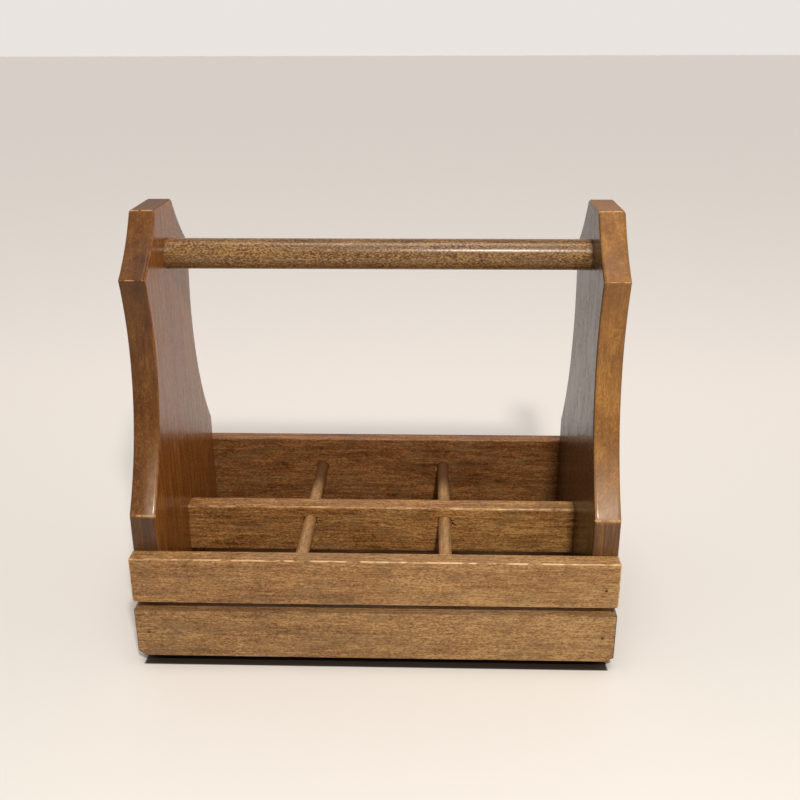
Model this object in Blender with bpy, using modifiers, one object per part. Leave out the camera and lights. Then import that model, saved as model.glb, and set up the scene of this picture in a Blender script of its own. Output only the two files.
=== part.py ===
"""Open wooden tool caddy: two shaped end panels, a dowel handle, slatted front, solid back, and a tray
divided by a centre rail and two cross dowels. It stands on four rubber feet.

Metres, +Z up, +X along the length. The origin is on the table, under the middle of the tray.
"""

import math

import bmesh
import bpy
from mathutils import Vector

OBJECT_NAME = "tool_storage_caddy"

# Fits: touching pieces keep FIT_GAP between them, and a hole is this much wider all round than what it holds.
FIT_GAP = 0.0003
CUTTER_OVERRUN = 0.002

# End panels
OVERALL_LENGTH = 0.350
PANEL_THICKNESS = 0.019
PANEL_DEPTH = 0.192
PANEL_HEIGHT = 0.3144
PANEL_TOP_HALF_WIDTH = 0.024
SHOULDER_HALF_WIDTH = 0.065
SHOULDER_BELOW_TOP = 0.0407
SHOULDER_HOLLOW = 0.003
WAIST_HOLLOW = 0.021
CREASE_ABOVE_BOTTOM = 0.1096
SHOULDER_STEPS = 6
WAIST_STEPS = 14

# Boards
SLAT_THICKNESS = 0.0127
LOWER_SLAT_HEIGHT = 0.040
SLAT_SPACING = 0.006
UPPER_SLAT_HEIGHT = 0.036
LOWER_SLAT_CORNER_RADIUS = 0.0045
CORNER_STEPS = 5
BACK_BOARD_THICKNESS = 0.0127
BACK_BOARD_HEIGHT = 0.0872
FLOOR_THICKNESS = 0.0095
EDGE_ROUND = 0.001
EDGE_ROUND_STEPS = 2

# Centre divider, and the housings in the panels that hold its ends
DIVIDER_THICKNESS = 0.016
DIVIDER_HEIGHT = 0.0402
DIVIDER_TOP_ABOVE_DOWEL = 0.0125
HOUSING_DEPTH = 0.003

# Cross dowels
CROSS_DOWEL_DIAMETER = 0.010
CROSS_DOWEL_ABOVE_SLAT_EDGE = 0.014
CROSS_DOWEL_SOCKET_DEPTH = 0.006
BAYS_ALONG_LENGTH = 3
LEFT_DOWEL_SHIFT = 0.005  # the left cross dowel stands this much nearer its end panel than equal bays would

# Handle
HANDLE_DIAMETER = 0.0225
HANDLE_AXIS_BELOW_TOP = 0.0363
HANDLE_SOCKET_DEPTH = 0.010

# Finishing nails, set a little below the wood
NAIL_LENGTH = 0.032
NAIL_DIAMETER = 0.0018
NAIL_HEAD_DIAMETER = 0.0026
NAIL_HEAD_HEIGHT = 0.001
NAIL_POINT = 0.003
NAIL_SET = 0.0008
UPPER_SLAT_NAIL_RISE = 0.0145
LOWER_SLAT_NAIL_RISE = 0.0205
BACK_NAIL_FROM_EDGE = 0.022
FLOOR_NAIL_FROM_MIDDLE = 0.060
NAIL_SIDES = 10

# Countersunk screws through the panels into the handle
HANDLE_SCREW_LENGTH = 0.035
HANDLE_SCREW_DIAMETER = 0.0035
HANDLE_SCREW_HEAD_DIAMETER = 0.0075
HANDLE_SCREW_HEAD_HEIGHT = 0.0025
HANDLE_SCREW_POINT = 0.004
SCREW_SIDES = 16

# Rubber feet, each with a washer and a pan-head screw in its recess
FOOT_HEIGHT = 0.0057
FOOT_DIAMETER = 0.019
FOOT_TAPER = 0.0005
FOOT_RIM_ROUND = 0.0008
FOOT_RECESS_DIAMETER = 0.0105
FOOT_WEB = 0.0017
FOOT_FROM_PANEL_INNER_FACE = 0.005
FOOT_FROM_PANEL_EDGE = 0.005
FOOT_SIDES = 32
WASHER_DIAMETER = 0.0095
WASHER_THICKNESS = 0.0008
FOOT_SCREW_DIAMETER = 0.003
FOOT_SCREW_HEAD_DIAMETER = 0.0065
FOOT_SCREW_HEAD_HEIGHT = 0.0018
FOOT_SCREW_LENGTH = 0.016
FOOT_SCREW_POINT = 0.003

DOWEL_SIDES = 40
CROSS_DOWEL_SIDES = 24
DOWEL_END_ROUND = 0.0006

# Worked out from the values above
WOOD_BOTTOM = FOOT_HEIGHT + FIT_GAP
PANEL_TOP = WOOD_BOTTOM + PANEL_HEIGHT
INNER_LENGTH = OVERALL_LENGTH - 2 * PANEL_THICKNESS
PANEL_MIDDLE_X = (OVERALL_LENGTH - PANEL_THICKNESS) / 2
BOARD_FACE_Y = PANEL_DEPTH / 2 + FIT_GAP
UPPER_SLAT_BOTTOM = WOOD_BOTTOM + LOWER_SLAT_HEIGHT + SLAT_SPACING
CROSS_DOWEL_Z = UPPER_SLAT_BOTTOM + CROSS_DOWEL_ABOVE_SLAT_EDGE
DIVIDER_TOP = CROSS_DOWEL_Z + DIVIDER_TOP_ABOVE_DOWEL
DIVIDER_MIDDLE_Z = DIVIDER_TOP - DIVIDER_HEIGHT / 2
HANDLE_Z = PANEL_TOP - HANDLE_AXIS_BELOW_TOP
FOOT_X = INNER_LENGTH / 2 + FOOT_FROM_PANEL_INNER_FACE
FOOT_Y = PANEL_DEPTH / 2 - FOOT_FROM_PANEL_EDGE

SIDES = {"left": -1, "right": 1}
ENDS = {"front": -1, "back": 1}


def clear_scene():
    for old in list(bpy.data.objects):
        bpy.data.objects.remove(old)


def new_collection(name):
    collection = bpy.data.collections.new(name)
    bpy.context.scene.collection.children.link(collection)
    return collection


def new_material(name, colour, roughness, metallic=0.0):
    material = bpy.data.materials.new(name)
    material.use_nodes = True
    shader = material.node_tree.nodes["Principled BSDF"]
    shader.inputs["Base Color"].default_value = (*colour, 1.0)
    shader.inputs["Roughness"].default_value = roughness
    shader.inputs["Metallic"].default_value = metallic
    material.diffuse_color = (*colour, 1.0)
    return material


clear_scene()
parts = new_collection(OBJECT_NAME)
cutters = new_collection("cutters")
root = bpy.data.objects.new("caddy_root", None)
parts.objects.link(root)

PANEL_WOOD = new_material("panel_wood", (0.20, 0.085, 0.034), 0.32)
SLAT_WOOD = new_material("slat_wood", (0.34, 0.175, 0.075), 0.38)
BACK_WOOD = new_material("back_wood", (0.26, 0.12, 0.048), 0.38)
DIVIDER_WOOD = new_material("divider_wood", (0.25, 0.12, 0.055), 0.42)
HANDLE_WOOD = new_material("handle_wood", (0.33, 0.18, 0.085), 0.30)
CROSS_DOWEL_WOOD = new_material("cross_dowel_wood", (0.30, 0.16, 0.07), 0.42)
FLOOR_WOOD = new_material("floor_wood", (0.22, 0.11, 0.05), 0.55)
RUBBER = new_material("foot_rubber", (0.018, 0.016, 0.014), 0.75)
BRIGHT_STEEL = new_material("nail_steel", (0.42, 0.40, 0.38), 0.40, 1.0)
ZINC_STEEL = new_material("screw_steel", (0.62, 0.61, 0.58), 0.32, 1.0)


def add_part(name, mesh, material, location=(0.0, 0.0, 0.0), outward=None):
    """Makes one named piece. outward turns the mesh's +Z axis to that direction."""
    part = bpy.data.objects.new(name, mesh)
    if not mesh.materials:
        mesh.materials.append(material)
    part.location = location
    if outward is not None:
        part.rotation_euler = Vector(outward).to_track_quat("Z", "Y").to_euler()
    part.parent = root
    parts.objects.link(part)
    return part


def add_cutter(name, mesh, location, outward=None):
    cutter = bpy.data.objects.new(name, mesh)
    cutter.location = location
    if outward is not None:
        cutter.rotation_euler = Vector(outward).to_track_quat("Z", "Y").to_euler()
    cutter.display_type = "WIRE"
    cutter.hide_render = True
    cutters.objects.link(cutter)
    return cutter


def cut(part, cutter):
    boolean = part.modifiers.new(cutter.name, "BOOLEAN")
    boolean.operation = "DIFFERENCE"
    boolean.solver = "EXACT"
    boolean.object = cutter


def round_edges(part, radius):
    bevel = part.modifiers.new("rounded_edges", "BEVEL")
    bevel.width = radius
    bevel.segments = EDGE_ROUND_STEPS
    bevel.limit_method = "ANGLE"
    bevel.angle_limit = math.radians(30)


def box_mesh(name, size):
    mesh = bpy.data.meshes.new(name)
    work = bmesh.new()
    bmesh.ops.create_cube(work, size=1.0)
    bmesh.ops.scale(work, vec=Vector(size), verts=work.verts)
    work.to_mesh(mesh)
    work.free()
    return mesh


def rod_mesh(name, diameter, length, sides):
    """A round rod along Z, centred."""
    mesh = bpy.data.meshes.new(name)
    work = bmesh.new()
    bmesh.ops.create_cone(
        work, cap_ends=True, segments=sides, radius1=diameter / 2, radius2=diameter / 2, depth=length
    )
    work.to_mesh(mesh)
    work.free()
    mesh.shade_smooth()
    mesh.set_sharp_from_angle(angle=math.radians(40))
    return mesh


def plain_mesh(maker, name):
    """Turns an object with modifiers or a curve into one welded mesh, and removes the object."""
    bpy.context.view_layer.update()
    evaluated = maker.evaluated_get(bpy.context.evaluated_depsgraph_get())
    mesh = bpy.data.meshes.new_from_object(evaluated)
    mesh.name = name
    work = bmesh.new()
    work.from_mesh(mesh)
    bmesh.ops.remove_doubles(work, verts=work.verts, dist=0.00001)
    work.to_mesh(mesh)
    work.free()
    bpy.data.objects.remove(maker)
    return mesh


def turned_mesh(name, profile, sides, closed=False):
    """Turns (radius, height) points about Z. They run down the outer side from the top; closed makes a ring."""
    count = len(profile)
    edges = [(i, i + 1) for i in range(count - 1)]
    if closed:
        edges.append((count - 1, 0))
    outline = bpy.data.meshes.new(name + "_profile")
    outline.from_pydata([(radius, 0.0, height) for radius, height in profile], edges, [])
    maker = bpy.data.objects.new(name + "_maker", outline)
    bpy.context.scene.collection.objects.link(maker)
    screw = maker.modifiers.new("turn", "SCREW")
    screw.steps = sides
    screw.render_steps = sides
    screw.use_merge_vertices = True
    screw.merge_threshold = 0.00001
    mesh = plain_mesh(maker, name)
    mesh.shade_smooth()
    mesh.set_sharp_from_angle(angle=math.radians(40))
    return mesh


def outline_mesh(name, points, thickness):
    """A flat outline in X and Y, with its thickness along Z, centred."""
    curve = bpy.data.curves.new(name + "_outline", "CURVE")
    curve.dimensions = "2D"
    curve.fill_mode = "BOTH"
    curve.extrude = thickness / 2
    spline = curve.splines.new("POLY")
    spline.points.add(len(points) - 1)
    for place, (x, y) in zip(spline.points, points):
        place.co = (x, y, 0.0, 1.0)
    spline.use_cyclic_u = True
    maker = bpy.data.objects.new(name + "_maker", curve)
    bpy.context.scene.collection.objects.link(maker)
    return plain_mesh(maker, name)


def arc_points(start, end, hollow, steps):
    """Points on a circular arc from start to end, whose middle lies hollow to the left of the chord."""
    start, end = Vector(start), Vector(end)
    chord = end - start
    left = Vector((-chord.y, chord.x)).normalized()
    radius = (chord.length ** 2 / 4 + hollow ** 2) / (2 * hollow)
    centre = (start + end) / 2 + left * (hollow - radius)
    half_angle = math.asin(chord.length / 2 / radius)
    middle_angle = math.atan2(left.y, left.x)
    points = []
    for step in range(steps + 1):
        angle = middle_angle + half_angle * (1 - 2 * step / steps)
        points.append((centre.x + radius * math.cos(angle), centre.y + radius * math.sin(angle)))
    return points


def panel_outline():
    """The end panel seen along the caddy's length: depth, then height above its bottom edge."""
    shoulder_z = PANEL_HEIGHT - SHOULDER_BELOW_TOP
    bottom_corner = (PANEL_DEPTH / 2, 0.0)
    crease = (PANEL_DEPTH / 2, CREASE_ABOVE_BOTTOM)
    shoulder = (SHOULDER_HALF_WIDTH, shoulder_z)
    top_corner = (PANEL_TOP_HALF_WIDTH, PANEL_HEIGHT)
    waist = arc_points(crease, shoulder, WAIST_HOLLOW, WAIST_STEPS)
    brow = arc_points(shoulder, top_corner, SHOULDER_HOLLOW, SHOULDER_STEPS)
    half = [bottom_corner] + waist + brow[1:]
    return half + [(-y, z) for y, z in reversed(half)]


def lower_slat_outline():
    """The lower front slat seen from the front: square top corners and rounded bottom ones."""
    half_length = OVERALL_LENGTH / 2
    radius = LOWER_SLAT_CORNER_RADIUS
    right = [(half_length, LOWER_SLAT_HEIGHT)]
    for step in range(CORNER_STEPS + 1):
        angle = math.pi / 2 * step / CORNER_STEPS
        x = half_length - radius + radius * math.cos(angle)
        right.append((x, radius - radius * math.sin(angle)))
    return right + [(-x, z) for x, z in reversed(right)]


def nail_profile():
    shank, head = NAIL_DIAMETER / 2, NAIL_HEAD_DIAMETER / 2
    return [
        (0.0, 0.0),
        (head, 0.0),
        (head, -NAIL_HEAD_HEIGHT),
        (shank, -NAIL_HEAD_HEIGHT),
        (shank, NAIL_POINT - NAIL_LENGTH),
        (0.0, -NAIL_LENGTH),
    ]


def nail_hole_profile():
    """The hole round a nail, from above the wood to just past the nail's point."""
    shank, head = NAIL_DIAMETER / 2 + FIT_GAP, NAIL_HEAD_DIAMETER / 2 + FIT_GAP
    head_seat = -NAIL_HEAD_HEIGHT - FIT_GAP
    bottom = -NAIL_LENGTH - FIT_GAP
    top = NAIL_SET + CUTTER_OVERRUN
    return [(0.0, top), (head, top), (head, head_seat), (shank, head_seat), (shank, bottom), (0.0, bottom)]


def handle_screw_profile():
    shank, head = HANDLE_SCREW_DIAMETER / 2, HANDLE_SCREW_HEAD_DIAMETER / 2
    return [
        (0.0, 0.0),
        (head, 0.0),
        (shank, -HANDLE_SCREW_HEAD_HEIGHT),
        (shank, HANDLE_SCREW_POINT - HANDLE_SCREW_LENGTH),
        (0.0, -HANDLE_SCREW_LENGTH),
    ]


def handle_screw_hole_profile():
    shank, head = HANDLE_SCREW_DIAMETER / 2 + FIT_GAP, HANDLE_SCREW_HEAD_DIAMETER / 2 + FIT_GAP
    cone_end = -HANDLE_SCREW_HEAD_HEIGHT - FIT_GAP
    bottom = -HANDLE_SCREW_LENGTH - FIT_GAP
    return [
        (0.0, CUTTER_OVERRUN),
        (head, CUTTER_OVERRUN),
        (head, -FIT_GAP),
        (shank, cone_end),
        (shank, bottom),
        (0.0, bottom),
    ]


def foot_screw_profile():
    shank, head = FOOT_SCREW_DIAMETER / 2, FOOT_SCREW_HEAD_DIAMETER / 2
    return [
        (0.0, FOOT_SCREW_HEAD_HEIGHT),
        (head * 0.6, FOOT_SCREW_HEAD_HEIGHT * 0.9),
        (head, FOOT_SCREW_HEAD_HEIGHT * 0.4),
        (head, 0.0),
        (shank, 0.0),
        (shank, FOOT_SCREW_POINT - FOOT_SCREW_LENGTH),
        (0.0, -FOOT_SCREW_LENGTH),
    ]


def foot_profile():
    """The foot upside down: its sole is at the top of the profile, and it lies against the wood at z = 0."""
    outer, recess = FOOT_DIAMETER / 2, FOOT_RECESS_DIAMETER / 2
    bore = FOOT_SCREW_DIAMETER / 2 + FIT_GAP
    sole_edge = outer - FOOT_TAPER - FOOT_RIM_ROUND
    return [
        (sole_edge, FOOT_HEIGHT),
        (outer - FOOT_TAPER, FOOT_HEIGHT - FOOT_RIM_ROUND),
        (outer, 0.0),
        (bore, 0.0),
        (bore, FOOT_WEB),
        (recess, FOOT_WEB),
        (recess, FOOT_HEIGHT),
    ]


def washer_profile():
    outer, bore = WASHER_DIAMETER / 2, FOOT_SCREW_DIAMETER / 2 + FIT_GAP
    return [(outer, WASHER_THICKNESS), (outer, 0.0), (bore, 0.0), (bore, WASHER_THICKNESS)]


def make_end_panels():
    mesh = outline_mesh("end_panel", panel_outline(), PANEL_THICKNESS)
    panels = {}
    for side, sign in SIDES.items():
        panel = add_part(f"end_panel_{side}", mesh, PANEL_WOOD, (sign * PANEL_MIDDLE_X, 0.0, WOOD_BOTTOM))
        panel.rotation_euler = (math.pi / 2, 0.0, math.pi / 2)
        round_edges(panel, EDGE_ROUND)
        panels[side] = panel
    return panels


def make_boards():
    """The two front slats, the back board and the tray's floor."""
    front_y = -BOARD_FACE_Y - SLAT_THICKNESS / 2
    back_y = BOARD_FACE_Y + BACK_BOARD_THICKNESS / 2

    lower_mesh = outline_mesh("front_slat_lower", lower_slat_outline(), SLAT_THICKNESS)
    lower = add_part("front_slat_lower", lower_mesh, SLAT_WOOD, (0.0, front_y, WOOD_BOTTOM))
    lower.rotation_euler.x = math.pi / 2

    upper_mesh = box_mesh("front_slat_upper", (OVERALL_LENGTH, SLAT_THICKNESS, UPPER_SLAT_HEIGHT))
    upper_z = UPPER_SLAT_BOTTOM + UPPER_SLAT_HEIGHT / 2
    upper = add_part("front_slat_upper", upper_mesh, SLAT_WOOD, (0.0, front_y, upper_z))

    back_mesh = box_mesh("back_board", (OVERALL_LENGTH, BACK_BOARD_THICKNESS, BACK_BOARD_HEIGHT))
    back_z = WOOD_BOTTOM + BACK_BOARD_HEIGHT / 2
    back = add_part("back_board", back_mesh, BACK_WOOD, (0.0, back_y, back_z))

    floor_mesh = box_mesh("floor_board", (INNER_LENGTH - 2 * FIT_GAP, PANEL_DEPTH, FLOOR_THICKNESS))
    floor_z = WOOD_BOTTOM + FLOOR_THICKNESS / 2
    floor = add_part("floor_board", floor_mesh, FLOOR_WOOD, (0.0, 0.0, floor_z))

    for board in (lower, upper, back, floor):
        round_edges(board, EDGE_ROUND)
    return lower, upper, back, floor


def make_divider(panels):
    """The centre rail, with its ends in housings cut in the panels."""
    length = INNER_LENGTH + 2 * (HOUSING_DEPTH - FIT_GAP)
    mesh = box_mesh("centre_divider", (length, DIVIDER_THICKNESS, DIVIDER_HEIGHT))
    divider = add_part("centre_divider", mesh, DIVIDER_WOOD, (0.0, 0.0, DIVIDER_MIDDLE_Z))
    round_edges(divider, EDGE_ROUND)

    housing_depth = HOUSING_DEPTH + CUTTER_OVERRUN
    housing_size = (housing_depth, DIVIDER_THICKNESS + 2 * FIT_GAP, DIVIDER_HEIGHT + 2 * FIT_GAP)
    housing_mesh = box_mesh("housing_cutter", housing_size)
    housing_x = INNER_LENGTH / 2 + HOUSING_DEPTH - housing_depth / 2
    for side, sign in SIDES.items():
        place = (sign * housing_x, 0.0, DIVIDER_MIDDLE_Z)
        cut(panels[side], add_cutter(f"housing_{side}", housing_mesh, place))
    return divider


def make_cross_dowels(divider, upper, back):
    """Two thin rods from front to back, which part the tray into bays of nearly equal length."""
    reach = BOARD_FACE_Y + CROSS_DOWEL_SOCKET_DEPTH
    mesh = rod_mesh("cross_dowel", CROSS_DOWEL_DIAMETER, 2 * (reach - FIT_GAP), CROSS_DOWEL_SIDES)
    hole_diameter = CROSS_DOWEL_DIAMETER + 2 * FIT_GAP
    hole_mesh = rod_mesh("cross_dowel_cutter", hole_diameter, 2 * reach, CROSS_DOWEL_SIDES)
    bay = INNER_LENGTH / BAYS_ALONG_LENGTH
    for side, sign in SIDES.items():
        shift = LEFT_DOWEL_SHIFT if sign < 0 else 0.0
        place = (sign * bay / 2 - shift, 0.0, CROSS_DOWEL_Z)
        dowel = add_part(f"cross_dowel_{side}", mesh, CROSS_DOWEL_WOOD, place, (0, 1, 0))
        round_edges(dowel, DOWEL_END_ROUND)
        hole = add_cutter(f"cross_dowel_hole_{side}", hole_mesh, place, (0, 1, 0))
        for board in (divider, upper, back):
            cut(board, hole)


def make_handle(panels):
    """The round handle, in blind sockets, with a countersunk screw through each panel into its end."""
    reach = INNER_LENGTH / 2 + HANDLE_SOCKET_DEPTH
    mesh = rod_mesh("handle_dowel", HANDLE_DIAMETER, 2 * (reach - FIT_GAP), DOWEL_SIDES)
    handle = add_part("handle_dowel", mesh, HANDLE_WOOD, (0.0, 0.0, HANDLE_Z), (1, 0, 0))
    round_edges(handle, DOWEL_END_ROUND)

    socket_length = HANDLE_SOCKET_DEPTH + CUTTER_OVERRUN
    socket_mesh = rod_mesh("socket_cutter", HANDLE_DIAMETER + 2 * FIT_GAP, socket_length, DOWEL_SIDES)
    screw_mesh = turned_mesh("handle_screw", handle_screw_profile(), SCREW_SIDES)
    hole_mesh = turned_mesh("handle_screw_cutter", handle_screw_hole_profile(), SCREW_SIDES)
    for side, sign in SIDES.items():
        outward = (sign, 0, 0)
        socket_place = (sign * (reach - socket_length / 2), 0.0, HANDLE_Z)
        cut(panels[side], add_cutter(f"handle_socket_{side}", socket_mesh, socket_place, outward))
        place = (sign * OVERALL_LENGTH / 2, 0.0, HANDLE_Z)
        add_part(f"handle_screw_{side}", screw_mesh, ZINC_STEEL, place, outward)
        hole = add_cutter(f"handle_screw_hole_{side}", hole_mesh, place, outward)
        cut(panels[side], hole)
        cut(handle, hole)


def make_nails(panels, lower, upper, back, floor, divider):
    """Finishing nails through the boards' ends, and through the panels into the floor and the divider."""
    nail_mesh = turned_mesh("finishing_nail", nail_profile(), NAIL_SIDES)
    hole_mesh = turned_mesh("nail_cutter", nail_hole_profile(), NAIL_SIDES)
    front_y = -BOARD_FACE_Y - SLAT_THICKNESS
    back_y = BOARD_FACE_Y + BACK_BOARD_THICKNESS
    floor_z = WOOD_BOTTOM + FLOOR_THICKNESS / 2

    def drive(name, surface_point, outward, pieces):
        place = Vector(surface_point) - Vector(outward) * NAIL_SET
        add_part(name, nail_mesh, BRIGHT_STEEL, place, outward)
        hole = add_cutter(name + "_hole", hole_mesh, place, outward)
        for piece in pieces:
            cut(piece, hole)

    for side, sign in SIDES.items():
        panel = panels[side]
        board_x = sign * PANEL_MIDDLE_X
        end_x = sign * OVERALL_LENGTH / 2
        front, rear, end = (0, -1, 0), (0, 1, 0), (sign, 0, 0)

        upper_z = UPPER_SLAT_BOTTOM + UPPER_SLAT_NAIL_RISE
        lower_z = WOOD_BOTTOM + LOWER_SLAT_NAIL_RISE
        drive(f"upper_slat_nail_{side}", (board_x, front_y, upper_z), front, (upper, panel))
        drive(f"lower_slat_nail_{side}", (board_x, front_y, lower_z), front, (lower, panel))

        back_low_z = WOOD_BOTTOM + BACK_NAIL_FROM_EDGE
        back_high_z = WOOD_BOTTOM + BACK_BOARD_HEIGHT - BACK_NAIL_FROM_EDGE
        drive(f"back_nail_low_{side}", (board_x, back_y, back_low_z), rear, (back, panel))
        drive(f"back_nail_high_{side}", (board_x, back_y, back_high_z), rear, (back, panel))

        drive(f"divider_nail_{side}", (end_x, 0.0, DIVIDER_MIDDLE_Z), end, (panel, divider))
        for way, toward in ENDS.items():
            nail_y = toward * FLOOR_NAIL_FROM_MIDDLE
            drive(f"floor_nail_{side}_{way}", (end_x, nail_y, floor_z), end, (panel, floor))


def make_feet(panels):
    """Four feet under the corners, each screwed up into the bottom edge of an end panel."""
    foot_mesh = turned_mesh("foot", foot_profile(), FOOT_SIDES, closed=True)
    washer_mesh = turned_mesh("foot_washer", washer_profile(), SCREW_SIDES, closed=True)
    screw_mesh = turned_mesh("foot_screw", foot_screw_profile(), SCREW_SIDES)
    washer_drop = FIT_GAP + FOOT_WEB + FIT_GAP
    head_drop = washer_drop + WASHER_THICKNESS + FIT_GAP
    bite = FOOT_SCREW_LENGTH - head_drop + FIT_GAP
    hole_length = bite + CUTTER_OVERRUN
    hole_diameter = FOOT_SCREW_DIAMETER + 2 * FIT_GAP
    hole_mesh = rod_mesh("foot_screw_cutter", hole_diameter, hole_length, SCREW_SIDES)
    down = (0, 0, -1)
    for side, sign in SIDES.items():
        for way, toward in ENDS.items():
            x, y = sign * FOOT_X, toward * FOOT_Y
            tag = f"{way}_{side}"
            add_part(f"foot_{tag}", foot_mesh, RUBBER, (x, y, WOOD_BOTTOM - FIT_GAP), down)
            add_part(f"foot_washer_{tag}", washer_mesh, ZINC_STEEL, (x, y, WOOD_BOTTOM - washer_drop), down)
            add_part(f"foot_screw_{tag}", screw_mesh, ZINC_STEEL, (x, y, WOOD_BOTTOM - head_drop), down)
            hole_z = WOOD_BOTTOM + bite - hole_length / 2
            cut(panels[side], add_cutter(f"foot_screw_hole_{tag}", hole_mesh, (x, y, hole_z), down))


end_panels = make_end_panels()
lower_slat, upper_slat, back_board, floor_board = make_boards()
centre_divider = make_divider(end_panels)
make_cross_dowels(centre_divider, upper_slat, back_board)
make_handle(end_panels)
make_nails(end_panels, lower_slat, upper_slat, back_board, floor_board, centre_divider)
make_feet(end_panels)
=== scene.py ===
import math

import bmesh
import bpy
import numpy as np
from mathutils import Matrix, Vector, noise


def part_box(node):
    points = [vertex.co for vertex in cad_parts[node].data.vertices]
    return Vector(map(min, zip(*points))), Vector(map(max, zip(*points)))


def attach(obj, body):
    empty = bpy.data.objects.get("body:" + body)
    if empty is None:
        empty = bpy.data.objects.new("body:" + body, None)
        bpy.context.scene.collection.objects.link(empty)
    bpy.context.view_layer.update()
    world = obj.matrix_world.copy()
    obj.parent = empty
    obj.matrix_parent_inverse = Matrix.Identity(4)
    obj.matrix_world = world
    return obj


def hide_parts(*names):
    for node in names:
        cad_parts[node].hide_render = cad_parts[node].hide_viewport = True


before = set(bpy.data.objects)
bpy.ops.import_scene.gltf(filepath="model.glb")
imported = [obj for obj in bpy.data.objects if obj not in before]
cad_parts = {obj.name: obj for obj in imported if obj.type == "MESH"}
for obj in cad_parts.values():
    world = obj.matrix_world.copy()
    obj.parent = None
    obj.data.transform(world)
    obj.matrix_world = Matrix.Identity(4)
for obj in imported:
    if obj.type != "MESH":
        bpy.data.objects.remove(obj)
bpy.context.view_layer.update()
print("frame loaded:", len(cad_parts), "nodes")

mm = 0.001


# ---- node helpers

class Wire:
    # a node's output socket, so that maths on it reads as a plain expression
    def __init__(self, tree, socket):
        self.tree, self.socket = tree, socket

    def maths(self, operation, first, second=0.0, third=0.0):
        return addNode(self.tree, "ShaderNodeMath", {"operation": operation}, {0: first, 1: second, 2: third})

    def __add__(self, other):
        return self.maths("ADD", self, other)

    def __radd__(self, other):
        return self.maths("ADD", other, self)

    def __sub__(self, other):
        return self.maths("SUBTRACT", self, other)

    def __rsub__(self, other):
        return self.maths("SUBTRACT", other, self)

    def __mul__(self, other):
        return self.maths("MULTIPLY", self, other)

    def __rmul__(self, other):
        return self.maths("MULTIPLY", other, self)

    def __truediv__(self, other):
        return self.maths("DIVIDE", self, other)

    def __pow__(self, other):
        return self.maths("POWER", self, other)

    def root(self):
        return self.maths("SQRT", self)

    def part(self):
        return self.maths("FRACT", self)

    def size(self):
        return self.maths("ABSOLUTE", self)

    def larger(self, other):
        return self.maths("MAXIMUM", self, other)

    def along(self, axis):
        return addNode(self.tree, "ShaderNodeSeparateXYZ", None, {0: self}, axis)

    def between(self, low, high, toLow=0.0, toHigh=1.0):
        # eases from toLow to toHigh as the value goes from low to high
        settings = {"interpolation_type": "SMOOTHSTEP"}
        inputs = {0: self, 1: low, 2: high, 3: toLow, 4: toHigh}
        return addNode(self.tree, "ShaderNodeMapRange", settings, inputs)


def addNode(tree, kind, settings=None, inputs=None, output=0):
    # the one way that nodes are made: settings first, then values or links for the sockets
    node = tree.nodes.new(kind)
    for key, value in (settings or {}).items():
        setattr(node, key, value)
    for key, value in (inputs or {}).items():
        if isinstance(value, Wire):
            tree.links.new(value.socket, node.inputs[key])
        else:
            node.inputs[key].default_value = value
    return Wire(tree, node.outputs[output])


def objectPlace(tree):
    return addNode(tree, "ShaderNodeTexCoord", output="Object")


def combined(tree, x=0.0, y=0.0, z=0.0):
    return addNode(tree, "ShaderNodeCombineXYZ", None, {"X": x, "Y": y, "Z": z})


def mixColour(tree, factor, first, second, blend="MIX"):
    settings = {"data_type": "RGBA", "blend_type": blend}
    return addNode(tree, "ShaderNodeMix", settings, {0: factor, 6: first, 7: second}, 2)


def newMaterial(name):
    material = bpy.data.materials.new(name)
    material.use_nodes = True
    return material, material.node_tree, material.node_tree.nodes["Principled BSDF"]


def feed(tree, shader, inputs):
    for key, value in inputs.items():
        if isinstance(value, Wire):
            tree.links.new(value.socket, shader.inputs[key])
        else:
            shader.inputs[key].default_value = value


def addObject(name, data):
    made = bpy.data.objects.new(name, data)
    bpy.context.scene.collection.objects.link(made)
    return made


# ---- camera, light and floor

cameraLook = {
    "place": (0.0372, -0.7077, 0.4433),
    "turn": 0.0298,
    "tilt": -0.3701,
    "roll": -0.0032,
    "lens": 43.79,
    "sensor": 36.0,
    "clip": (0.01, 60.0),
}
lightLook = {
    "key": {"place": (0.19, -1.02, 1.16), "aim": (0.0, 0.0, 0.12), "size": 0.11, "power": 14.6,
            "colour": (1.0, 0.955, 0.89)},
    "ceiling": {"size": 24.0, "power": 1.2, "colour": (1.0, 0.965, 0.92)},
    "front": (0.34, 0.325, 0.30, 1.0),
    "back": (0.93, 0.885, 0.845, 1.0),
    "above": (0.30, 0.29, 0.28, 1.0),
    "strength": 0.88,
}
# near and far: the paper's colour, painted paler far back as painted light; shade: the painted shadow under
# the caddy
floorLook = {
    "half": 14.0, "near": (0.745, 0.71, 0.67, 1.0), "far": (0.91, 0.855, 0.815, 1.0),
    "farFrom": -0.12, "farTo": 0.6, "shade": (0.030, 0.021, 0.014, 1.0), "roughness": 0.6,
    "halfLength": 172 * mm, "halfDepth": 110.6 * mm, "softness": 2.0 * mm, "sideSoftness": 0.6 * mm,
}


def makeCamera(look):
    data = bpy.data.cameras.new("mainCamera")
    data.lens, data.sensor_width = look["lens"], look["sensor"]
    data.clip_start, data.clip_end = look["clip"]
    camera = addObject("mainCamera", data)
    turn = Matrix.Rotation(look["turn"], 4, "Z") @ Matrix.Rotation(math.pi / 2 + look["tilt"], 4, "X")
    camera.matrix_world = Matrix.Translation(look["place"]) @ turn @ Matrix.Rotation(look["roll"], 4, "Z")
    bpy.context.scene.camera = camera


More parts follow.
